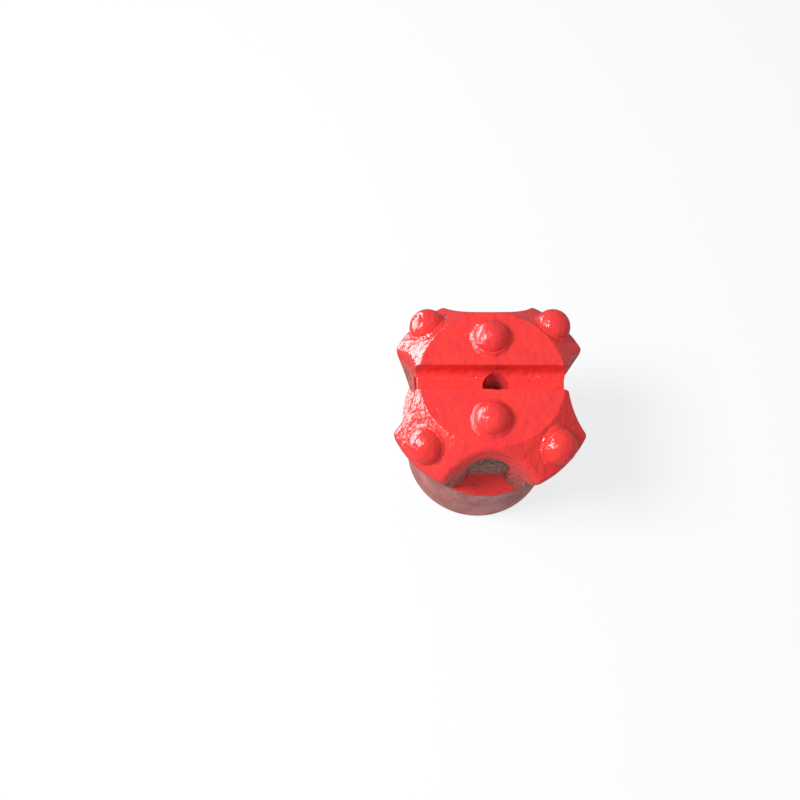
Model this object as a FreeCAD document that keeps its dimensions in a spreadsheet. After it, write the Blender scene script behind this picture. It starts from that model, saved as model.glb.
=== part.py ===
import FreeCAD, Part
import os
import Sketcher

# Button drill bit with a left-hand rope-thread socket.
# Frame: +Z points from the open end of the skirt to the cutting face, X runs along the
# flushing slot, and the origin is the centre of the skirt's rim, which the bit stands on.
# One steel body carries two front buttons in its face and a gauge button on each wing.

# Driving dimensions: millimetres, and degrees where the name ends in _angle.
SIZES = {
    # outer form of the steel body
    "body_length": 54.0,
    "skirt_dia": 44.0,
    "skirt_length": 29.0,
    "rim_round": 1.2,
    "gauge_dia": 51.0,
    "gauge_land": 2.6,
    "face_dia": 33.6,
    "bevel_angle": 40.0,
    # flutes between the four wings
    "flute_root": 17.4,
    "flute_radius": 13.0,
    "head_round": 1.4,
    "face_round": 0.6,
    "relief_depth": 0.4,
    "relief_width": 10.6,
    "relief_top": 47.4,
    "ledge_angle": 34.0,
    "ledge_root": 1.0,
    # socket and flushing passage
    "socket_depth": 30.0,
    "mouth_dia": 32.8,
    "mouth_chamfer": 2.3,
    "entry_length": 6.5,
    "crest_dia": 29.2,
    "floor_round": 2.6,
    "flush_dia": 13.0,
    "flush_depth": 6.0,
    "jet_dia": 6.0,
    "jet_shift": 1.2,
    "drill_point_angle": 118.0,
    # rope thread
    "thread_pitch": 12.7,
    "thread_depth": 1.5,
    "thread_groove_radius": 3.95,
    "thread_overcut": 0.6,
    "thread_turns": 1.7,
    # flushing slot across the face
    "slot_width": 5.9,
    "slot_depth": 4.4,
    "slot_shift": 0.3,
    "slot_corner": 2.0,
    "edge_break": 0.3,
    # carbide buttons and their seats
    "front_button_dia": 8.2,
    "front_button_rise": 3.0,
    "front_button_reach": 10.1,
    "gauge_button_dia": 8.6,
    "gauge_button_rise": 3.4,
    "gauge_button_reach": 21.4,
    "button_bury": 6.5,
    "button_stand": 0.8,
    "button_foot": 0.5,
    "seat_gap": 0.03,
}

WINGS = 4
FRONT_BUTTONS = 2
NEAR = 1e-4

# Places worked out from the driving dimensions, as expressions on the sheet.
SKIRT_R = "dim.skirt_dia / 2"
GAUGE_R = "dim.gauge_dia / 2"
FACE_R = "dim.face_dia / 2"
CREST_R = "dim.crest_dia / 2"
FLUSH_R = "dim.flush_dia / 2"
JET_R = "dim.jet_dia / 2"
GAUGE_TOP = "(dim.body_length - (dim.gauge_dia - dim.face_dia) / 2 * tan(dim.bevel_angle))"
CONE_TOP = f"(dim.body_length + {FACE_R} * tan(dim.bevel_angle))"
FLUSH_TOP = "(dim.socket_depth + dim.flush_depth)"
DRILL_POINT = f"({FLUSH_R} / tan(dim.drill_point_angle / 2))"
LEDGE_INNER = "(dim.flute_root - dim.relief_depth - dim.ledge_root)"
LEDGE_TOP = f"(dim.skirt_length + ({SKIRT_R} - {LEDGE_INNER}) * tan(dim.ledge_angle))"
GAUGE_BUTTON_HEIGHT = f"(dim.body_length - (dim.gauge_button_reach - {FACE_R}) * tan(dim.bevel_angle))"

doc = FreeCAD.newDocument("button_drill_bit")
dim = doc.addObject("Spreadsheet::Sheet", "dim")
for row, (name, value) in enumerate(SIZES.items(), start=1):
    dim.set(f"A{row}", name)
    dim.set(f"B{row}", str(value))
    dim.setAlias(f"B{row}", name)
doc.recompute()


def origin_part(body, role):
    """The body's own origin plane or axis with this role."""
    return [part for part in body.Origin.OriginFeatures if part.Role == role][0]


def new_sketch(body, name, role, lift="0", turn=0.0):
    """A sketch on an origin plane, lifted along its normal and turned about +Z."""
    sketch = body.newObject("Sketcher::SketchObject", name)
    sketch.AttachmentSupport = [(origin_part(body, role), "")]
    sketch.MapMode = "FlatFace"
    upright = FreeCAD.Vector(0, 0, 1) if role == "XY_Plane" else FreeCAD.Vector(0, 1, 0)
    sketch.AttachmentOffset = FreeCAD.Placement(FreeCAD.Vector(), FreeCAD.Rotation(upright, turn))
    sketch.setExpression("AttachmentOffset.Base.z", lift)
    return sketch


def tie(sketch, geometry, point, across, up):
    """Hold one point of a sketch at two expressions, measured from the sketch's origin."""
    for kind, expression in (("DistanceX", across), ("DistanceY", up)):
        index = sketch.addConstraint(Sketcher.Constraint(kind, -1, 1, geometry, point, 1.0))
        sketch.setExpression(f"Constraints[{index}]", expression)


def outline(sketch, corners, closing_radius=None):
    """A closed outline, drawn anticlockwise through corners given as pairs of expressions.

    The side from the last corner back to the first bulges out as an arc where it has a radius.
    """
    sides = len(corners) if closing_radius is None else len(corners) - 1
    for side in range(sides):
        start = FreeCAD.Vector(side, side * side, 0)
        end = FreeCAD.Vector(side + 1, side * side + 1, 0)
        sketch.addGeometry(Part.LineSegment(start, end))
        if side > 0:
            sketch.addConstraint(Sketcher.Constraint("Coincident", side - 1, 2, side, 1))
        tie(sketch, side, 1, *corners[side])
    if closing_radius is None:
        sketch.addConstraint(Sketcher.Constraint("Coincident", sides - 1, 2, 0, 1))
        return
    tie(sketch, sides - 1, 2, *corners[sides])
    doc.recompute()
    start = sketch.Geometry[sides - 1].EndPoint
    end = sketch.Geometry[0].StartPoint
    chord = end - start
    middle = (start + end) * 0.5 + FreeCAD.Vector(chord.y, -chord.x, 0) * 0.3
    sketch.addGeometry(Part.Arc(start, middle, end))
    sketch.addConstraint(Sketcher.Constraint("Coincident", sides - 1, 2, sides, 1))
    sketch.addConstraint(Sketcher.Constraint("Coincident", sides, 2, 0, 1))
    index = sketch.addConstraint(Sketcher.Constraint("Radius", sides, sketch.Geometry[sides].Radius))
    sketch.setExpression(f"Constraints[{index}]", closing_radius)


def circle(sketch, across, up, radius):
    """A circle whose centre and radius are expressions."""
    sketch.addGeometry(Part.Circle(FreeCAD.Vector(1, 1, 0), FreeCAD.Vector(0, 0, 1), 1.0))
    tie(sketch, 0, 3, across, up)
    index = sketch.addConstraint(Sketcher.Constraint("Radius", 0, 1.0))
    sketch.setExpression(f"Constraints[{index}]", radius)


def spin(body, kind, name, sketch, axis=None):
    """A full Revolution or Groove of a sketch about Z, or about a line of the sketch."""
    feature = body.newObject(f"PartDesign::{kind}", name)
    feature.Profile = sketch
    feature.ReferenceAxis = axis or (origin_part(body, "Z_Axis"), [""])
    feature.Angle = 360.0
    return feature


def repeat(body, feature, count):
    """Repeat a feature evenly about Z."""
    pattern = body.newObject("PartDesign::PolarPattern", f"{feature.Name}_ring")
    pattern.Originals = [feature]
    pattern.Axis = (origin_part(body, "Z_Axis"), [""])
    pattern.Angle = 360.0
    pattern.Occurrences = count
    body.Tip = pattern
    doc.recompute()
    return pattern


def meeting_edges(shape, first, second):
    """Names of the edges where a face that passes one test meets one that passes another."""
    faces_at = {}
    for face in shape.Faces:
        for edge in face.Edges:
            faces_at.setdefault(edge.hashCode(), []).append(face)
    names = []
    for number, edge in enumerate(shape.Edges, start=1):
        faces = faces_at[edge.hashCode()]
        if len(faces) != 2:
            continue
        one, other = faces
        if (first(one) and second(other)) or (first(other) and second(one)):
            names.append(f"Edge{number}")
    return names


def round_edges(body, name, base, edges, radius):
    """A fillet on named edges of a feature."""
    fillet = body.newObject("PartDesign::Fillet", name)
    fillet.Base = (base, edges)
    fillet.setExpression("Radius", radius)
    body.Tip = fillet
    doc.recompute()
    return fillet


def is_round(face, radius):
    """True for a cylindrical face of this radius."""
    return isinstance(face.Surface, Part.Cylinder) and abs(face.Surface.Radius - radius) < NEAR


def is_level(face, height):
    """True for a flat face square to Z at this height."""
    return isinstance(face.Surface, Part.Plane) and face.BoundBox.ZLength < NEAR and (
        abs(face.CenterOfMass.z - height) < NEAR)


def is_head_cone(face):
    """True for the flank or the bevel of the head."""
    return isinstance(face.Surface, Part.Cone) and face.CenterOfMass.z > dim.skirt_length


def is_gauge_land(face):
    """True for the widest band of the head."""
    return is_round(face, dim.gauge_dia / 2)


def is_flute_wall(face):
    """True for the scalloped wall of a flute."""
    return is_round(face, dim.flute_radius)


def add_envelope(body):
    """The turned outside: skirt, flared head, gauge land and a bevel up to its point."""
    sketch = new_sketch(body, "envelope_profile", "XZ_Plane")
    outline(sketch, [
        ("0", "0"),
        (SKIRT_R, "0"),
        (SKIRT_R, "dim.skirt_length"),
        (GAUGE_R, f"{GAUGE_TOP} - dim.gauge_land"),
        (GAUGE_R, GAUGE_TOP),
        ("0", CONE_TOP),
    ])
    envelope = spin(body, "Revolution", "envelope", sketch)
    doc.recompute()
    rim = [
        f"Edge{number}" for number, edge in enumerate(envelope.Shape.Edges, start=1)
        if edge.BoundBox.ZMax < NEAR and edge.BoundBox.XLength > 1
    ]
    round_edges(body, "rim_rounding", envelope, rim, "dim.rim_round")


def add_flutes(body):
    """Four scalloped flutes, and soft edges all over the wings they leave."""
    plan = new_sketch(body, "flute_plan", "XY_Plane", "dim.skirt_length")
    circle(plan, "0", "-(dim.flute_root + dim.flute_radius)", "dim.flute_radius")
    flute = body.newObject("PartDesign::Pocket", "flute")
    flute.Profile = plan
    flute.Type = "ThroughAll"
    flute.Reversed = True
    scalloped = repeat(body, flute, WINGS)
    edges = meeting_edges(scalloped.Shape, is_head_cone, is_flute_wall)
    edges += meeting_edges(scalloped.Shape, is_gauge_land, is_flute_wall)
    edges += meeting_edges(scalloped.Shape, is_head_cone, is_gauge_land)
    round_edges(body, "head_rounding", scalloped, edges, "dim.head_round")


def face_off(body):
    """The flat cutting face, which takes the point off the cone of the bevel."""
    face = new_sketch(body, "face_section", "XZ_Plane")
    outline(face, [
        ("0", "dim.body_length"),
        (GAUGE_R, "dim.body_length"),
        (GAUGE_R, CONE_TOP),
        ("0", CONE_TOP),
    ])
    flat = spin(body, "Groove", "face_cut", face)
    body.Tip = flat
    doc.recompute()
    brim = meeting_edges(flat.Shape, is_head_cone, lambda face: is_level(face, dim.body_length))
    round_edges(body, "face_rounding", flat, brim, "dim.face_round")


def add_reliefs(body):
    """A flat, arched relief in the wall of each flute, and one sloping ledge below them all."""
    arch = new_sketch(body, "relief_outline", "XZ_Plane", "dim.flute_root - dim.relief_depth")
    half_width = "dim.relief_width / 2"
    spring = f"dim.relief_top - {half_width}"
    outline(arch, [
        (f"-{half_width}", spring),
        (f"-{half_width}", "dim.skirt_length"),
        (half_width, "dim.skirt_length"),
        (half_width, spring),
    ], closing_radius=half_width)
    relief = body.newObject("PartDesign::Pocket", "relief")
    relief.Profile = arch
    relief.Type = "Length"
    relief.setExpression("Length", f"{GAUGE_R} - dim.flute_root + dim.relief_depth")
    relief.Reversed = True
    repeat(body, relief, WINGS)

    slope = new_sketch(body, "ledge_profile", "XZ_Plane")
    outline(slope, [
        (LEDGE_INNER, "dim.skirt_length"),
        (SKIRT_R, "dim.skirt_length"),
        (LEDGE_INNER, LEDGE_TOP),
    ])
    body.Tip = spin(body, "Revolution", "ledge", slope)
    doc.recompute()


def add_bore(body):
    """Socket with its chamfered mouth, the flushing passage, and the jet from the slot."""
    sketch = new_sketch(body, "bore_profile", "XZ_Plane")
    outline(sketch, [
        ("0", "0"),
        ("dim.mouth_dia / 2 + dim.mouth_chamfer", "0"),
        ("dim.mouth_dia / 2", "dim.mouth_chamfer"),
        ("dim.mouth_dia / 2", "dim.entry_length"),
        (CREST_R, f"dim.entry_length + dim.mouth_dia / 2 - {CREST_R}"),
        (CREST_R, "dim.socket_depth"),
        (FLUSH_R, "dim.socket_depth"),
        (FLUSH_R, FLUSH_TOP),
        ("0", f"{FLUSH_TOP} + {DRILL_POINT}"),
    ])
    bore = spin(body, "Groove", "bore", sketch)
    doc.recompute()
    floor_edges = meeting_edges(
        bore.Shape,
        lambda face: is_round(face, dim.crest_dia / 2),
        lambda face: is_level(face, dim.socket_depth),
    )
    round_edges(body, "floor_rounding", bore, floor_edges, "dim.floor_round")

    mouth = new_sketch(body, "jet_section", "XY_Plane", "dim.body_length")
    circle(mouth, "dim.jet_shift", "0", JET_R)
    jet = body.newObject("PartDesign::Pocket", "jet")
    jet.Profile = mouth
    jet.Type = "Length"
    jet.setExpression("Length", f"dim.body_length - {FLUSH_TOP}")
    body.Tip = jet
    doc.recompute()


def add_thread(body):
    """Left-hand rope thread: one round groove wound up the socket's wall."""
    sketch = new_sketch(body, "thread_section", "XZ_Plane")
    radius = "dim.thread_groove_radius"
    centre = f"({CREST_R} + dim.thread_depth - {radius})"
    inner = f"({CREST_R} - dim.thread_overcut)"
    half_chord = f"sqrt({radius} ^ 2 - ({inner} - {centre}) ^ 2)"
    start = f"(dim.entry_length - {radius})"
    outline(sketch, [
        (inner, f"{start} + {half_chord}"),
        (inner, f"{start} - {half_chord}"),
    ], closing_radius=radius)
    thread = body.newObject("PartDesign::SubtractiveHelix", "rope_thread")
    thread.Profile = sketch
    thread.ReferenceAxis = (origin_part(body, "Z_Axis"), [""])
    thread.Mode = "pitch-turns-angle"
    thread.setExpression("Pitch", "dim.thread_pitch")
    thread.setExpression("Turns", "dim.thread_turns")
    thread.LeftHanded = True
    body.Tip = thread
    doc.recompute()


def level_edges(shape, offsets, height):
    """Names of the edges that run along X at one of these offsets in Y, at this height."""
    names = []
    for number, edge in enumerate(shape.Edges, start=1):
        box = edge.BoundBox
        level = box.ZLength < NEAR and abs(box.ZMax - height) < NEAR
        if level and box.YLength < NEAR and min(abs(box.YMax - offset) for offset in offsets) < NEAR:
            names.append(f"Edge{number}")
    return names


def add_slot(body):
    """Flushing slot milled straight across the face, with rounded floor corners."""
    left = "dim.slot_shift - dim.slot_width / 2"
    right = "dim.slot_shift + dim.slot_width / 2"
    floor = "dim.body_length - dim.slot_depth"
    sketch = new_sketch(body, "slot_section", "YZ_Plane")
    outline(sketch, [
        (left, floor),
        (right, floor),
        (right, CONE_TOP),
        (left, CONE_TOP),
    ])
    slot = body.newObject("PartDesign::Pocket", "slot")
    slot.Profile = sketch
    slot.Type = "ThroughAll"
    slot.Midplane = True
    body.Tip = slot
    doc.recompute()
    walls = (dim.slot_shift - dim.slot_width / 2, dim.slot_shift + dim.slot_width / 2)
    cornered = round_edges(
        body, "slot_rounding", slot,
        level_edges(slot.Shape, walls, dim.body_length - dim.slot_depth), "dim.slot_corner")
    round_edges(
        body, "slot_edge_break", cornered,
        level_edges(cornered.Shape, walls, dim.body_length), "dim.edge_break")


def tilted(reach, height, tilt, out, along):
    """A point measured out from, and along, an axis that leans outward by tilt."""
    across = f"{reach} + ({along}) * sin({tilt}) + ({out}) * cos({tilt})"
    up = f"{height} + ({along}) * cos({tilt}) - ({out}) * sin({tilt})"
    return across, up


def add_seats(body, name, role, turn, count, button_dia, reach, height, tilt):
    """A ring of flat-bottomed holes that the carbide buttons are pressed into."""
    seat_r = f"({button_dia} / 2 + dim.seat_gap)"
    sketch = new_sketch(body, f"{name}_seat_profile", role, turn=turn)
    corners = [
        tilted(reach, height, tilt, "0", "-dim.button_bury"),
        tilted(reach, height, tilt, seat_r, "-dim.button_bury"),
        tilted(reach, height, tilt, seat_r, "dim.button_bury"),
        tilted(reach, height, tilt, "0", "dim.button_bury"),
    ]
    outline(sketch, corners)
    seat = spin(body, "Groove", f"{name}_seat", sketch, (sketch, [f"Edge{len(corners)}"]))
    repeat(body, seat, count)


def build_body():
    """The one-piece steel body of the bit."""
    body = doc.addObject("PartDesign::Body", "bit_body")
    add_envelope(body)
    add_flutes(body)
    face_off(body)
    add_reliefs(body)
    add_seats(body, "front", "YZ_Plane", 0.0, FRONT_BUTTONS, "dim.front_button_dia",
              "dim.front_button_reach", "dim.body_length", "0")
    add_seats(body, "gauge", "XZ_Plane", 180.0 / WINGS, WINGS, "dim.gauge_button_dia",
              "dim.gauge_button_reach", GAUGE_BUTTON_HEIGHT, "dim.bevel_angle")
    add_slot(body)
    add_bore(body)
    add_thread(body)
    return body


def build_button(name, button_dia, rise, reach, height, azimuth, tilt):
    """A carbide button: bevelled foot, straight shank and domed end, set along its seat."""
    body = doc.addObject("PartDesign::Body", name)
    radius = f"({button_dia} / 2)"
    sketch = new_sketch(body, f"{name}_profile", "XZ_Plane")
    outline(sketch, [
        ("0", f"dim.button_stand + {rise}"),
        ("0", "-dim.button_bury"),
        (f"{radius} - dim.button_foot", "-dim.button_bury"),
        (radius, "-dim.button_bury + dim.button_foot"),
        (radius, "dim.button_stand"),
    ], closing_radius=f"({radius} ^ 2 + {rise} ^ 2) / (2 * {rise})")
    spin(body, "Revolution", f"{name}_form", sketch)
    turned = FreeCAD.Rotation(FreeCAD.Vector(0, 0, 1), azimuth)
    lean_axis = turned.multVec(FreeCAD.Vector(0, 1, 0))
    body.Placement = FreeCAD.Placement(FreeCAD.Vector(), FreeCAD.Rotation(lean_axis, 1.0))
    body.setExpression("Placement.Rotation.Angle", tilt)
    body.setExpression("Placement.Base.x", f"{reach} * cos({azimuth})")
    body.setExpression("Placement.Base.y", f"{reach} * sin({azimuth})")
    body.setExpression("Placement.Base.z", height)
    doc.recompute()
    return body


parts = [build_body()]
for place in range(FRONT_BUTTONS):
    parts.append(build_button(
        f"front_button_{place + 1}", "dim.front_button_dia", "dim.front_button_rise",
        "dim.front_button_reach", "dim.body_length", 90.0 + 360.0 / FRONT_BUTTONS * place, "0"))
for place in range(WINGS):
    parts.append(build_button(
        f"gauge_button_{place + 1}", "dim.gauge_button_dia", "dim.gauge_button_rise",
        "dim.gauge_button_reach", GAUGE_BUTTON_HEIGHT, 180.0 / WINGS + 360.0 / WINGS * place,
        "dim.bevel_angle"))

doc.recompute()
for item in doc.Objects:
    if "Invalid" in item.State or "Error" in item.State:
        raise RuntimeError(f"{item.Name} did not compute: {item.State}")
for part in parts:
    if part.Shape.isNull() or not part.Shape.isValid():
        raise RuntimeError(f"{part.Label} has no valid shape")

os.makedirs("parts", exist_ok=True)
for part in parts:
    part.Shape.exportStep(f"parts/{part.Label}.step")
    print(part.Label, round(part.Shape.Volume / 1000, 3), "cm3", len(part.Shape.Solids), "solid")
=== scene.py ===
# %% [markdown]
# # A painted button drill bit
# The bit is one steel forging with a threaded socket, and six carbide buttons pressed into
# its head. It was sprayed from above after assembly, so the top is thick gloss paint and
# every steep wall below it is thin, speckled and dusty. This script dresses the packed
# solids: it leaves their shapes alone, gives them paint, bare steel, rust and dust, and lays
# a fillet of gathered paint round each button.

import math

import bpy
from mathutils import Matrix, Vector


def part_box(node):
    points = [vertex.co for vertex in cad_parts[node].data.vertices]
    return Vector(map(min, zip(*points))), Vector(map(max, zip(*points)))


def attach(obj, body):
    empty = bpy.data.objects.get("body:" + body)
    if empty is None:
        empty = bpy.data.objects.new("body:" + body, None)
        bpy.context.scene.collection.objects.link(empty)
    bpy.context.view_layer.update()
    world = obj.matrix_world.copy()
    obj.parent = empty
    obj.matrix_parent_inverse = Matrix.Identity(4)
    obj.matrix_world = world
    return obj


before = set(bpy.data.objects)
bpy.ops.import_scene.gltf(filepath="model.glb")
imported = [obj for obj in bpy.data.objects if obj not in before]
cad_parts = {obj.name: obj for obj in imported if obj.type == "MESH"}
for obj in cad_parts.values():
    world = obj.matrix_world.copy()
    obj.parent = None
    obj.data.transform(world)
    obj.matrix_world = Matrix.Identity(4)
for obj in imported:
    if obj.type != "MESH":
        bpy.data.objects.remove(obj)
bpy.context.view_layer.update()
print("nodes:", sorted(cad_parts))

# %% [markdown]
# ## Sizes to work from
# The finish changes with height and with distance from the bit's axis, so a few sizes of the
# body are named first. Heights are measured from the rim that the bit stands on.

# %% Name the sizes
MM = 0.001
FACE_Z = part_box("bit_body")[1].z
SKIRT_TOP_Z = 29.0 * MM
BEVEL_ANGLE = math.radians(40.0)
SOCKET_FLOOR_Z = 30.0 * MM
SOCKET_ENTRY_Z = 8.3 * MM
SOCKET_R = 16.5 * MM
FLUSH_DEPTH = 6.0 * MM
RELIEF_R = 17.0 * MM
RELIEF_HALF_WIDTH = 5.3 * MM
print("face height in mm:", round(FACE_Z / MM, 2))

# %% [markdown]
# ## The camera
# The bit is seen from high above its near side, through a wide lens that stands close by. A
# camera looks along its own -Z, so its aim is a direction, and the roll turns it about that
# direction. The small shift puts the bit beside the middle of the frame.

# %% Place the camera
CAMERA_PLACE = Vector((-12.31, -54.44, 170.31)) * MM
CAMERA_AIM = Vector((-0.0327, 0.2612, -0.9647))
CAMERA_ROLL = math.radians(-6.31)
SENSOR_WIDTH = 36.0
LENS_LENGTH = 24.75
SHIFT_ACROSS = -0.024
SHIFT_UP = 0.092
NEAREST_SEEN = 5.0 * MM


def aimed(place, direction):
    """A transform at a place whose -Z looks along a direction."""
    return Matrix.Translation(place) @ direction.to_track_quat("-Z", "Y").to_matrix().to_4x4()


camera_data = bpy.data.cameras.new("camera")
camera_data.sensor_width = SENSOR_WIDTH
camera_data.lens = LENS_LENGTH
camera_data.shift_x = SHIFT_ACROSS
camera_data.shift_y = SHIFT_UP
camera_data.clip_start = NEAREST_SEEN
camera = bpy.data.objects.new("camera", camera_data)
camera.matrix_world = aimed(CAMERA_PLACE, CAMERA_AIM) @ Matrix.Rotation(CAMERA_ROLL, 4, "Z")
bpy.context.scene.collection.objects.link(camera)
bpy.context.scene.camera = camera
bpy.context.scene.view_settings.view_transform = "Standard"
print("camera height in mm:", round(camera.location.z / MM, 1))

# %% [markdown]
# ## First node helpers
# A shader is a tree of small nodes. These helpers add one node each and return its output, so
# that the steps below read as short sums. The floor and the world both show the camera
# something other than what they show the bit, so they share one way to blend two shaders.

# %% Add nodes by name
def feed(tree, socket, value):
    """Put a number or another node's output into a socket."""
    if isinstance(value, bpy.types.NodeSocket):
        tree.links.new(value, socket)
    else:
        socket.default_value = value


def calc(tree, operation, first, second=0.0, third=0.0):
    """One Math node."""
    node = tree.nodes.new("ShaderNodeMath")
    node.operation = operation
    for socket, value in zip(node.inputs, (first, second, third)):
        feed(tree, socket, value)
    return node.outputs[0]


def blend_out(tree, factor, plain, other, end):
    """Blend two shaders, 0 for the plain one, and send the blend to the tree's end node."""
    node = tree.nodes.new("ShaderNodeMixShader")
    feed(tree, node.inputs[0], factor)
    tree.links.new(plain, node.inputs[1])
    tree.links.new(other, node.inputs[2])
    tree.links.new(node.outputs[0], tree.nodes[end].inputs["Surface"])


def new_material(name):
    """A material with its node tree, its shader and its colour left to fill in."""
    material = bpy.data.materials.new(name)
    material.use_nodes = True
    return material, material.node_tree, material.node_tree.nodes["Principled BSDF"]


print("first helpers ready")

# %% [markdown]
# ## Floor
# A plain white floor keeps the bit's soft shadow. To the camera it also glows, which lifts it
# nearly to white and leaves the shadow faint. It is left out of reflections, so that it does
# not pale the paint's steep sides.

# %% Lay the floor
FLOOR_SIZE = 4.0
FLOOR_DROP = 0.05 * MM
FLOOR_WHITE = (0.9, 0.9, 0.9, 1.0)
FLOOR_ROUGHNESS = 0.9
GLOW_SHARE = 0.75

bpy.ops.mesh.primitive_plane_add(size=FLOOR_SIZE, location=(0.0, 0.0, -FLOOR_DROP))
floor = bpy.context.active_object
floor.name = "floor"
floor_finish, tree, shader = new_material("floor_white")
shader.inputs["Base Color"].default_value = FLOOR_WHITE
shader.inputs["Roughness"].default_value = FLOOR_ROUGHNESS
shader.inputs["Specular IOR Level"].default_value = 0.0
glow = tree.nodes.new("ShaderNodeEmission")
seen = tree.nodes.new("ShaderNodeLightPath").outputs["Is Camera Ray"]
seen_glow = calc(tree, "MULTIPLY", seen, GLOW_SHARE)
blend_out(tree, seen_glow, shader.outputs[0], glow.outputs[0], "Material Output")
floor.data.materials.append(floor_finish)
floor.visible_glossy = False
print("floor side in m:", FLOOR_SIZE)

# %% [markdown]
# ## World
# The world is plain white to the camera, and the floor is close to white, so from high above
# they run together. From low down a faint line shows where the floor ends. To everything else
# the world is a little blue, as open shade is, and it is dimmer in reflections than as light.

# %% Surround the bit with open shade
SHADE_BLUE = (0.82, 0.90, 1.0, 1.0)
SHADE_LIGHT = 0.5
LESS_IN_GLOSS = 0.3
PLAIN_WHITE = (1.0, 1.0, 1.0, 1.0)

world = bpy.data.worlds.new("open_shade")
world.use_nodes = True
bpy.context.scene.world = world
sky = world.node_tree
ray = sky.nodes.new("ShaderNodeLightPath").outputs
shade = sky.nodes["Background"]
shade.inputs["Color"].default_value = SHADE_BLUE
shade_light = calc(sky, "MULTIPLY_ADD", ray["Is Glossy Ray"], -LESS_IN_GLOSS, SHADE_LIGHT)
feed(sky, shade.inputs["Strength"], shade_light)
white = sky.nodes.new("ShaderNodeBackground")
white.inputs["Color"].default_value = PLAIN_WHITE
blend_out(sky, ray["Is Camera Ray"], shade.outputs[0], white.outputs[0], "World Output")
print("shade strength:", SHADE_LIGHT)

# %% [markdown]
# ## Lamps
# Gloss paint shows its lamps as clear shapes, so each lamp is a panel with a direction, a
# width and a height. Directions are in degrees: round from +X, and up from level. One key
# panel lights the bit from the left. The others are seen only in the gloss: a low band close
# by on the left, a spot high in front, a strip high behind, and a patch at the front left.

# %% Hang the lamps
AIM_POINT = Vector((0.0, 0.0, 48.0)) * MM
FAR = 0.60
NEAR = 0.19


def panel(name, azimuth, elevation, distance, width, height, radiance, gloss_only=True):
    """A rectangular lamp at a compass direction from the bit, given by its brightness."""
    turn, rise = math.radians(azimuth), math.radians(elevation)
    out = Vector((math.cos(turn) * math.cos(rise), math.sin(turn) * math.cos(rise), math.sin(rise)))
    data = bpy.data.lights.new(name, "AREA")
    data.shape = "RECTANGLE"
    data.size = width
    data.size_y = height
    data.energy = radiance * math.pi * width * height
    lamp = bpy.data.objects.new(name, data)
    lamp.matrix_world = aimed(AIM_POINT + out * distance, -out)
    lamp.visible_camera = False
    lamp.visible_diffuse = not gloss_only
    bpy.context.scene.collection.objects.link(lamp)
    print(name, "watts:", round(data.energy, 3))


panel("key", 186.0, 50.0, FAR, width=0.22, height=0.22, radiance=23.0, gloss_only=False)
panel("low_band", 154.0, 5.0, NEAR, width=0.26, height=0.095, radiance=12.0)
panel("high_spot", 268.0, 70.0, FAR, width=0.035, height=0.035, radiance=30.0)
panel("back_strip", 144.0, 48.0, FAR, width=0.03, height=0.09, radiance=20.0)
panel("front_left", 215.0, 27.0, FAR, width=0.05, height=0.07, radiance=20.0)

# %% [markdown]
# ## Helpers for finishes
# Every finish here is worked out from the surface's own place on the bit: height, distance
# from the axis, and a few kinds of noise. With these helpers a finish reads as a short list
# of steps.

# %% Fade, mix, noise and bump
def fade(tree, value, start, end):
    """0 before start, 1 after end, and smooth between."""
    node = tree.nodes.new("ShaderNodeMapRange")
    node.interpolation_type = "SMOOTHSTEP"
    feed(tree, node.inputs["Value"], value)
    feed(tree, node.inputs["From Min"], start)
    feed(tree, node.inputs["From Max"], end)
    return node.outputs["Result"]


def mix(tree, factor, first, second, kind="RGBA"):
    """A blend of two colours or two numbers."""
    node = tree.nodes.new("ShaderNodeMix")
    node.data_type = kind
    first_slot, second_slot, out_slot = {"RGBA": (6, 7, 2), "FLOAT": (2, 3, 0)}[kind]
    feed(tree, node.inputs[0], factor)
    feed(tree, node.inputs[first_slot], first)
    feed(tree, node.inputs[second_slot], second)
    return node.outputs[out_slot]


def noise(tree, place, size, detail=2.0, stretch=(1.0, 1.0, 1.0)):
    """Noise whose lumps are about this size, stretched along the axes, from 0 to 1."""
    mapping = tree.nodes.new("ShaderNodeMapping")
    mapping.inputs["Scale"].default_value = [1.0 / along for along in stretch]
    tree.links.new(place, mapping.inputs["Vector"])
    node = tree.nodes.new("ShaderNodeTexNoise")
    node.inputs["Scale"].default_value = 1.0 / size
    node.inputs["Detail"].default_value = detail
    tree.links.new(mapping.outputs[0], node.inputs["Vector"])
    return node.outputs["Fac"]


def bump(tree, height, depth, normal=None):
    """A bump of this depth in metres."""
    node = tree.nodes.new("ShaderNodeBump")
    node.inputs["Distance"].default_value = depth
    feed(tree, node.inputs["Height"], height)
    if normal is not None:
        tree.links.new(normal, node.inputs["Normal"])
    return node.outputs[0]


def surface_place(tree):
    """The surface's place on the bit, and its x, y, z, distance from the axis and upward tilt."""
    place = tree.nodes.new("ShaderNodeTexCoord").outputs["Object"]
    split = tree.nodes.new("ShaderNodeSeparateXYZ")
    tree.links.new(place, split.inputs[0])
    x, y, z = split.outputs
    radius = calc(tree, "SQRT", calc(tree, "MULTIPLY_ADD", x, x, calc(tree, "MULTIPLY", y, y)))
    facing = tree.nodes.new("ShaderNodeSeparateXYZ")
    normal = tree.nodes.new("ShaderNodeNewGeometry").outputs["True Normal"]
    tree.links.new(normal, facing.inputs[0])
    return place, x, y, z, radius, facing.outputs[2]


print("finish helpers ready")

# %% [markdown]
# ## Gloss paint
# Sprayed enamel is not flat: it dries with low waves a millimetre or two apart, which bend
# every reflection. The colour varies a little with thickness, and a haze of dry spray dulls
# some of it.

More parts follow.
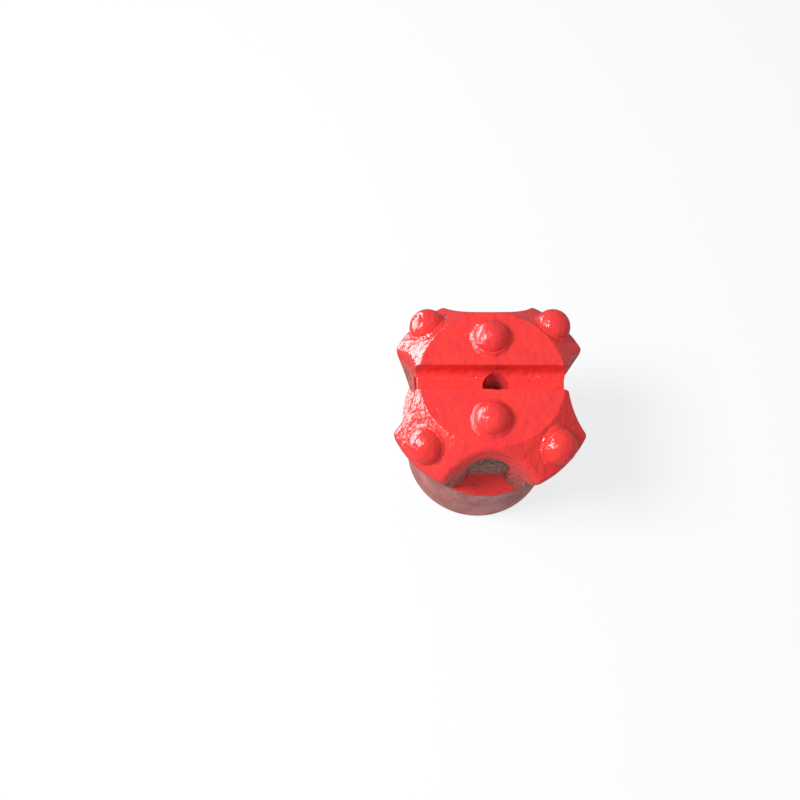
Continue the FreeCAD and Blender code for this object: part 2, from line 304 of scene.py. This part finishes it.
# %% Gloss paint recipe
RED = (0.93, 0.050, 0.042, 1.0)
RED_THIN = (0.88, 0.044, 0.045, 1.0)
THICKNESS_SIZE = 4.0 * MM
THIN_RANGE = (0.42, 0.62)
HAZE_SIZE = 3.0 * MM
HAZE_RANGE = (0.5, 0.75)
CLEAN_ROUGHNESS = 0.06
HAZE_ROUGHNESS = 0.14
WAVE_SIZE = 1.7 * MM
WAVE_DEPTH = 0.50 * MM
GRIT_SIZE = 0.25 * MM
GRIT_DEPTH = 0.006 * MM


def gloss_paint(tree, place):
    """Colour, roughness and waves of thick red enamel."""
    thin = fade(tree, noise(tree, place, THICKNESS_SIZE, detail=3.0), *THIN_RANGE)
    colour = mix(tree, thin, RED, RED_THIN)
    haze = fade(tree, noise(tree, place, HAZE_SIZE, detail=4.0), *HAZE_RANGE)
    roughness = mix(tree, haze, CLEAN_ROUGHNESS, HAZE_ROUGHNESS, "FLOAT")
    waves = bump(tree, noise(tree, place, WAVE_SIZE, detail=3.0), WAVE_DEPTH)
    grit = bump(tree, noise(tree, place, GRIT_SIZE, detail=2.0), GRIT_DEPTH, waves)
    return colour, roughness, grit


def finish_with(shader, tree, colour, roughness, normal):
    """Connect a recipe to its shader."""
    feed(tree, shader.inputs["Base Color"], colour)
    feed(tree, shader.inputs["Roughness"], roughness)
    feed(tree, shader.inputs["Normal"], normal)


def coat_with(node, material):
    """Give a solid this material alone."""
    node.data.materials.clear()
    node.data.materials.append(material)


button_paint, tree, shader = new_material("button_enamel")
place = surface_place(tree)[0]
finish_with(shader, tree, *gloss_paint(tree, place))
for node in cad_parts.values():
    coat_with(node, button_paint)
print("solids in gloss paint:", len(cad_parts))

# %% [markdown]
# ## Paint gathered round the buttons
# Wet enamel creeps into the corner where a button leaves the steel and dries as a soft, uneven
# fillet. It could be a bevel on a merged copy of the bit, but the solids stay as they are, so
# each fillet is a ring of its own. All six are the same job at different places, so one
# Geometry Nodes tree makes them. It starts with a tube of paint swept round a circle.

# %% Sweep a tube round a circle
STEPS_ROUND = 96
STEPS_ACROSS = 20


def circle(tree, steps, radius):
    """A circle of this many steps, its radius taken from another node."""
    node = tree.nodes.new("GeometryNodeCurvePrimitiveCircle")
    node.inputs["Resolution"].default_value = steps
    tree.links.new(radius, node.inputs["Radius"])
    return node.outputs[0]


def swept_tube(tree, radius, thickness):
    """A tube of paint round the axis."""
    sweep = tree.nodes.new("GeometryNodeCurveToMesh")
    tree.links.new(circle(tree, STEPS_ROUND, radius), sweep.inputs["Curve"])
    tree.links.new(circle(tree, STEPS_ACROSS, thickness), sweep.inputs["Profile Curve"])
    return sweep.outputs[0]


print("steps in a tube:", STEPS_ROUND, "by", STEPS_ACROSS)

# %% [markdown]
# ## From tube to fillet
# Three moves make the tube a fillet. Noise pushes its skin in and out. Its outer half is
# hollowed, from full height above the circle to nothing at its edge. On the bevel, which is
# part of a cone, it also sags to both sides, with the square of the distance from the slope's
# line.

# %% Work out how each point moves
LUMP_SIZE = 3.0 * MM
LUMP_DEPTH = 0.5 * MM
MIDDLE_OF_NOISE = 0.5
HOLLOWNESS = 1.5


def lumps(tree, seed):
    """A push along the skin's normal."""
    node = tree.nodes.new("ShaderNodeTexNoise")
    node.noise_dimensions = "4D"
    node.inputs["Scale"].default_value = 1.0 / LUMP_SIZE
    node.inputs["Detail"].default_value = 1.0
    tree.links.new(seed, node.inputs["W"])
    push = tree.nodes.new("ShaderNodeVectorMath")
    push.operation = "SCALE"
    tree.links.new(tree.nodes.new("GeometryNodeInputNormal").outputs[0], push.inputs[0])
    height = calc(tree, "SUBTRACT", node.outputs["Fac"], MIDDLE_OF_NOISE)
    feed(tree, push.inputs["Scale"], calc(tree, "MULTIPLY", height, LUMP_DEPTH))
    return push.outputs[0]


def distance_from_axis(tree, x, y):
    """How far a point is from the button's axis."""
    level = tree.nodes.new("ShaderNodeCombineXYZ")
    tree.links.new(x, level.inputs["X"])
    tree.links.new(y, level.inputs["Y"])
    length = tree.nodes.new("ShaderNodeVectorMath")
    length.operation = "LENGTH"
    tree.links.new(level.outputs[0], length.inputs[0])
    return length.outputs["Value"]


def drop(tree, radius, thickness, bend):
    """The move along Z that hollows the outer half and bends the ring to a cone."""
    split = tree.nodes.new("ShaderNodeSeparateXYZ")
    tree.links.new(tree.nodes.new("GeometryNodeInputPosition").outputs[0], split.inputs[0])
    x, y, z = split.outputs
    sag = calc(tree, "MULTIPLY", calc(tree, "MULTIPLY", y, y), calc(tree, "MULTIPLY", bend, -1.0))
    past_ring = calc(tree, "SUBTRACT", distance_from_axis(tree, x, y), radius)
    outward = calc(tree, "DIVIDE", past_ring, thickness)
    outward = calc(tree, "MINIMUM", calc(tree, "MAXIMUM", outward, 0.0), 1.0)
    kept = calc(tree, "POWER", calc(tree, "SUBTRACT", 1.0, outward), HOLLOWNESS)
    hollow = calc(tree, "MULTIPLY", z, calc(tree, "SUBTRACT", kept, 1.0))
    move = tree.nodes.new("ShaderNodeCombineXYZ")
    feed(tree, move.inputs["Z"], calc(tree, "ADD", sag, hollow))
    return move.outputs[0]


print("lump size in mm:", round(LUMP_SIZE / MM, 1))

# %% [markdown]
# ## The whole tree
# The tree's inputs have names, so that each ring can have its own size, place and seed. It
# ends by making the result real and giving it its paint. A modifier runs the tree once, and
# what it makes is kept as a plain mesh whose place is in the mesh itself.

# %% Build the tree and run it
def named_input(tree, name, kind):
    """A named input of a node tree, returned as the key that a modifier knows it by."""
    return tree.interface.new_socket(name=name, in_out="INPUT", socket_type=kind).identifier


def paint_fillet_tree():
    """A ring of paint round a button that stands along Z at the origin, then put in place."""
    tree = bpy.data.node_groups.new("paint_fillet", "GeometryNodeTree")
    tree.interface.new_socket(name="Geometry", in_out="OUTPUT", socket_type="NodeSocketGeometry")
    keys = {
        "radius": named_input(tree, "ring radius", "NodeSocketFloat"),
        "thickness": named_input(tree, "thickness", "NodeSocketFloat"),
        "bend": named_input(tree, "cone bend", "NodeSocketFloat"),
        "seed": named_input(tree, "seed", "NodeSocketFloat"),
        "place": named_input(tree, "place", "NodeSocketVector"),
        "lean": named_input(tree, "lean", "NodeSocketVector"),
        "paint": named_input(tree, "paint", "NodeSocketMaterial"),
    }
    given = tree.nodes.new("NodeGroupInput").outputs
    radius, thickness = given["ring radius"], given["thickness"]
    shift = tree.nodes.new("ShaderNodeVectorMath")
    tree.links.new(lumps(tree, given["seed"]), shift.inputs[0])
    tree.links.new(drop(tree, radius, thickness, given["cone bend"]), shift.inputs[1])
    moved = tree.nodes.new("GeometryNodeSetPosition")
    tree.links.new(swept_tube(tree, radius, thickness), moved.inputs["Geometry"])
    tree.links.new(shift.outputs[0], moved.inputs["Offset"])
    stood = tree.nodes.new("GeometryNodeTransform")
    tree.links.new(moved.outputs[0], stood.inputs["Geometry"])
    tree.links.new(given["place"], stood.inputs["Translation"])
    tree.links.new(given["lean"], stood.inputs["Rotation"])
    smooth = tree.nodes.new("GeometryNodeSetShadeSmooth")
    tree.links.new(stood.outputs[0], smooth.inputs["Geometry"])
    real = tree.nodes.new("GeometryNodeRealizeInstances")
    tree.links.new(smooth.outputs[0], real.inputs["Geometry"])
    coat = tree.nodes.new("GeometryNodeSetMaterial")
    tree.links.new(real.outputs[0], coat.inputs["Geometry"])
    tree.links.new(given["paint"], coat.inputs["Material"])
    tree.links.new(coat.outputs[0], tree.nodes.new("NodeGroupOutput").inputs[0])
    return tree, keys


def grow(name, tree, values):
    """Run the tree once with these input values and keep the result as a plain mesh."""
    obj = bpy.data.objects.new(name, bpy.data.meshes.new(name + "_seed"))
    bpy.context.scene.collection.objects.link(obj)
    maker = obj.modifiers.new("maker", "NODES")
    maker.node_group = tree
    for key, value in values.items():
        maker[key] = value
    result = obj.evaluated_get(bpy.context.evaluated_depsgraph_get())
    mesh = bpy.data.meshes.new_from_object(result)
    mesh.name = name
    obj.modifiers.remove(maker)
    obj.data = mesh
    return obj


fillet_tree, fillet_keys = paint_fillet_tree()
print("inputs of the tree:", len(fillet_keys))

# %% [markdown]
# ## Six rings in place
# Two rings lie level on the face, either side of the slot. Four lean outward with the bevel,
# one on each wing.

# %% Lay the rings
RING_OUTSET = 0.10 * MM
SEED_STEP = 3.0
FRONT_BUTTON_R = 4.1 * MM
FRONT_REACH = 10.1 * MM
FRONT_THICKNESS = 0.8 * MM
GAUGE_BUTTON_R = 4.3 * MM
GAUGE_REACH = 21.4 * MM
GAUGE_Z = 50.14 * MM
GAUGE_THICKNESS = 0.62 * MM
CONE_R = 33.3 * MM
GAUGE_BEND = 0.5 / CONE_R
FRONT_SIDES = (-1.0, 1.0)
WINGS = 4
FIRST_WING = math.radians(45.0)
QUARTER_TURN = math.radians(90.0)
FLAT = 0.0


def lay_ring(name, index, button_radius, thickness, bend, place, lean):
    """A fillet of paint round one button."""
    ring = grow(name, fillet_tree, {
        fillet_keys["radius"]: button_radius + RING_OUTSET,
        fillet_keys["thickness"]: thickness,
        fillet_keys["bend"]: bend,
        fillet_keys["seed"]: SEED_STEP * index,
        fillet_keys["place"]: place,
        fillet_keys["lean"]: lean,
        fillet_keys["paint"]: button_paint,
    })
    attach(ring, "root")
    print(name, len(ring.data.polygons), "faces")


for index, side in enumerate(FRONT_SIDES):
    place = (0.0, side * FRONT_REACH, FACE_Z)
    lean = (0.0, 0.0, 0.0)
    name = "face_paint_%d" % (index + 1)
    lay_ring(name, index, FRONT_BUTTON_R, FRONT_THICKNESS, FLAT, place, lean)
for wing in range(WINGS):
    around = FIRST_WING + QUARTER_TURN * wing
    place = (GAUGE_REACH * math.cos(around), GAUGE_REACH * math.sin(around), GAUGE_Z)
    lean = (0.0, BEVEL_ANGLE, around)
    name = "bevel_paint_%d" % (wing + 1)
    index = len(FRONT_SIDES) + wing
    lay_ring(name, index, GAUGE_BUTTON_R, GAUGE_THICKNESS, GAUGE_BEND, place, lean)

# %% [markdown]
# ## The body: starved walls
# The body's finish starts as gloss paint. Walls that face sideways, from a little below the
# face down, only caught drifting spray: grains of thin red over dark scaled steel. The grains
# could be a cloud of small discs, but they have no height, so fine noise cut off at a level
# does as well and costs no faces.

# %% Starve the steep walls of paint
GRAIN_SIZE = 0.45 * MM
GRAIN_STRETCH = (1.0, 1.0, 2.5)
GRAIN_EDGE = 0.03
PATCH_SIZE = 5.0 * MM
PATCH_STRETCH = (1.0, 1.0, 2.0)
STEEP_RANGE = (0.55, 0.25)
COVER_SPREAD = 0.5
COVER_LEAST = 0.22
THICK_TO_Z = FACE_Z - 4.0 * MM
STARVED_FROM_Z = FACE_Z - 15.0 * MM
SCALE_SIZE = 0.7 * MM
SCALE_DARK = (0.05, 0.03, 0.022, 1.0)
SCALE_BROWN = (0.26, 0.15, 0.10, 1.0)
SPRAY_DARK = (0.52, 0.045, 0.04, 1.0)
SPRAY_RED = (0.74, 0.075, 0.06, 1.0)
WALL_ROUGHNESS = 0.75

body_finish, tree, shader = new_material("body_enamel_and_steel")
place, x, y, z, radius, upward = surface_place(tree)
enamel, enamel_roughness, enamel_normal = gloss_paint(tree, place)
grains = noise(tree, place, GRAIN_SIZE, detail=6.0, stretch=GRAIN_STRETCH)
patches = noise(tree, place, PATCH_SIZE, detail=3.0, stretch=PATCH_STRETCH)
steep = fade(tree, upward, *STEEP_RANGE)
depth_down = fade(tree, z, THICK_TO_Z, STARVED_FROM_Z)
starved = calc(tree, "MULTIPLY", steep, depth_down)
patchy = calc(tree, "MULTIPLY_ADD", patches, COVER_SPREAD, COVER_LEAST)
cover_line = mix(tree, starved, 0.0, patchy, "FLOAT")
above_line = calc(tree, "ADD", cover_line, GRAIN_EDGE)
below_line = calc(tree, "SUBTRACT", cover_line, GRAIN_EDGE)
bare = fade(tree, grains, above_line, below_line)
scale = mix(tree, noise(tree, place, SCALE_SIZE, detail=4.0), SCALE_DARK, SCALE_BROWN)
thin_red = mix(tree, patches, SPRAY_DARK, SPRAY_RED)
colour = mix(tree, starved, enamel, mix(tree, bare, thin_red, scale))
roughness = mix(tree, starved, enamel_roughness, WALL_ROUGHNESS, "FLOAT")
print("walls starve below mm:", round(THICK_TO_Z / MM, 1))

# %% [markdown]
# ## The body: arched relief
# At the top of each flute a shallow arched flat is machined into the wall. Spray from above
# passed it by, so it is brown speckled steel, and a little redder low down. It is found by its
# distance from the axis along x or y, whichever is larger.

# %% Leave the relief bare
RELIEF_SKIN = 0.12 * MM
UPRIGHT_RANGE = (0.2, 0.1)
GRAIN_RANGE = (0.40, 0.62)
LOW_GRAIN_RANGE = (0.35, 0.65)
RELIEF_BROWN_Z = 42.0 * MM
RELIEF_RED_Z = 39.0 * MM
RELIEF_DARK = (0.055, 0.045, 0.030, 1.0)
RELIEF_BROWN = (0.30, 0.19, 0.13, 1.0)
RELIEF_LOW_DARK = (0.16, 0.06, 0.045, 1.0)
RELIEF_LOW_RED = (0.45, 0.18, 0.14, 1.0)

size_x, size_y = calc(tree, "ABSOLUTE", x), calc(tree, "ABSOLUTE", y)
across = calc(tree, "MINIMUM", size_x, size_y)
outward = calc(tree, "MAXIMUM", size_x, size_y)
off_flat = calc(tree, "ABSOLUTE", calc(tree, "SUBTRACT", outward, RELIEF_R))
in_flat = calc(tree, "LESS_THAN", off_flat, RELIEF_SKIN)
in_width = calc(tree, "LESS_THAN", across, RELIEF_HALF_WIDTH)
upright = fade(tree, upward, *UPRIGHT_RANGE)
in_relief = calc(tree, "MULTIPLY", calc(tree, "MULTIPLY", in_flat, in_width), upright)
relief_steel = mix(tree, fade(tree, grains, *GRAIN_RANGE), RELIEF_DARK, RELIEF_BROWN)
relief_low = mix(tree, fade(tree, grains, *LOW_GRAIN_RANGE), RELIEF_LOW_DARK, RELIEF_LOW_RED)
low_down = fade(tree, z, RELIEF_BROWN_Z, RELIEF_RED_Z)
colour = mix(tree, in_relief, colour, mix(tree, low_down, relief_steel, relief_low))
print("relief half width in mm:", round(RELIEF_HALF_WIDTH / MM, 1))

# %% [markdown]
# ## The body: dusty skirt
# The skirt below the head has a thin dry coat, brownish pink with dust, and a darker line
# where it meets the head.

# %% Dust the skirt
SKIRT_EDGE = 0.1 * MM
DUST_SIZE = 7.0 * MM
DUST_STRETCH = (1.0, 1.0, 2.0)
DUST_RANGE = (0.35, 0.65)
DUSTY_RED = (0.46, 0.13, 0.115, 1.0)
DUSTY_PINK = (0.62, 0.23, 0.20, 1.0)
SPECK_BROWN = (0.16, 0.09, 0.07, 1.0)
SPECK_RANGE = (0.52, 0.62)
SPECK_SHARE = 0.35
LINE_BROWN = (0.20, 0.13, 0.10, 1.0)
LINE_FROM_Z = SKIRT_TOP_Z - 1.2 * MM
LINE_FULL_Z = SKIRT_TOP_Z - 0.3 * MM
LINE_SHARE = 0.7
SKIRT_ROUGHNESS = 0.6

on_skirt = fade(tree, z, SKIRT_TOP_Z + SKIRT_EDGE, SKIRT_TOP_Z - SKIRT_EDGE)
dust = noise(tree, place, DUST_SIZE, detail=4.0, stretch=DUST_STRETCH)
dust = fade(tree, dust, *DUST_RANGE)
specks = calc(tree, "MULTIPLY", fade(tree, grains, *SPECK_RANGE), SPECK_SHARE)
dusty = mix(tree, specks, mix(tree, dust, DUSTY_RED, DUSTY_PINK), SPECK_BROWN)
line = calc(tree, "MULTIPLY", fade(tree, z, LINE_FROM_Z, LINE_FULL_Z), LINE_SHARE)
dusty = mix(tree, line, dusty, LINE_BROWN)
colour = mix(tree, on_skirt, colour, dusty)
roughness = mix(tree, on_skirt, roughness, SKIRT_ROUGHNESS, "FLOAT")
print("skirt height in mm:", round(SKIRT_TOP_Z / MM, 1))

# %% [markdown]
# ## The body: socket
# The spray hardly reached the socket. Its entry is rusty, and the threaded wall and the floor
# above it are oiled, greenish grey steel.

# %% Rust and oil the socket
RUST_SIZE = 1.2 * MM
RUST_RANGE = (0.35, 0.65)
RUST_DARK = (0.10, 0.045, 0.025, 1.0)
RUST_BROWN = (0.28, 0.14, 0.08, 1.0)
OIL_SIZE = 2.0 * MM
OIL_DARK = (0.13, 0.14, 0.12, 1.0)
OIL_GREY = (0.24, 0.25, 0.21, 1.0)
RUST_FADE = 4.0 * MM
SOCKET_ROUGHNESS = 0.4

rusty = fade(tree, noise(tree, place, RUST_SIZE, detail=5.0), *RUST_RANGE)
rust = mix(tree, rusty, RUST_DARK, RUST_BROWN)
oiled = mix(tree, noise(tree, place, OIL_SIZE, detail=4.0), OIL_DARK, OIL_GREY)
deep = fade(tree, z, SOCKET_ENTRY_Z, SOCKET_ENTRY_Z + RUST_FADE)
inside = calc(tree, "LESS_THAN", radius, SOCKET_R)
below_slot = calc(tree, "LESS_THAN", z, SOCKET_FLOOR_Z + FLUSH_DEPTH)
in_socket = calc(tree, "MULTIPLY", inside, below_slot)
colour = mix(tree, in_socket, colour, mix(tree, deep, rust, oiled))
roughness = mix(tree, in_socket, roughness, SOCKET_ROUGHNESS, "FLOAT")
finish_with(shader, tree, colour, roughness, enamel_normal)
coat_with(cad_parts["bit_body"], body_finish)
print("nodes in the body's finish:", len(tree.nodes))
